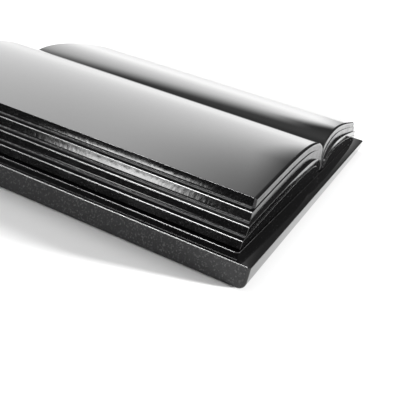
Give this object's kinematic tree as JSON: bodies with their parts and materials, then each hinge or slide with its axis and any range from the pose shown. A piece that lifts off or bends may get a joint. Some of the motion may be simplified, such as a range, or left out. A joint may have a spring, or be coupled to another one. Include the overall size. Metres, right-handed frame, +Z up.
{
  "type": "granite book memorial tablet",
  "caption": "Open book in polished black granite on a flat base slab, with stepped fore-edges, a humped page curve and a gutter.",
  "frame": {"origin": "middle of the base slab's underside", "axes": "+Z up out of the page faces, +X across the two pages from left to right, +Y along the gutter from foot to head"},
  "size_m": [0.7, 0.5, 0.068],
  "materials": {
    "slab_granite": "polished black granite, honed on the long sides",
    "page_granite": "mirror-polished black granite",
    "stone_adhesive": "cured black stone adhesive",
    "gutter_sealant": "matt black sealant",
    "dowel_steel": "stainless steel rod"
  },
  "bodies": {
    "root": {"base_slab": "slab_granite", "left_page_block": "page_granite", "right_page_block": "page_granite", "left_adhesive_bed": "stone_adhesive", "right_adhesive_bed": "stone_adhesive", "gutter_joint": "gutter_sealant", "dowel_left_foot": "dowel_steel", "dowel_left_head": "dowel_steel", "dowel_right_foot": "dowel_steel", "dowel_right_head": "dowel_steel"}
  },
  "joints": []
}
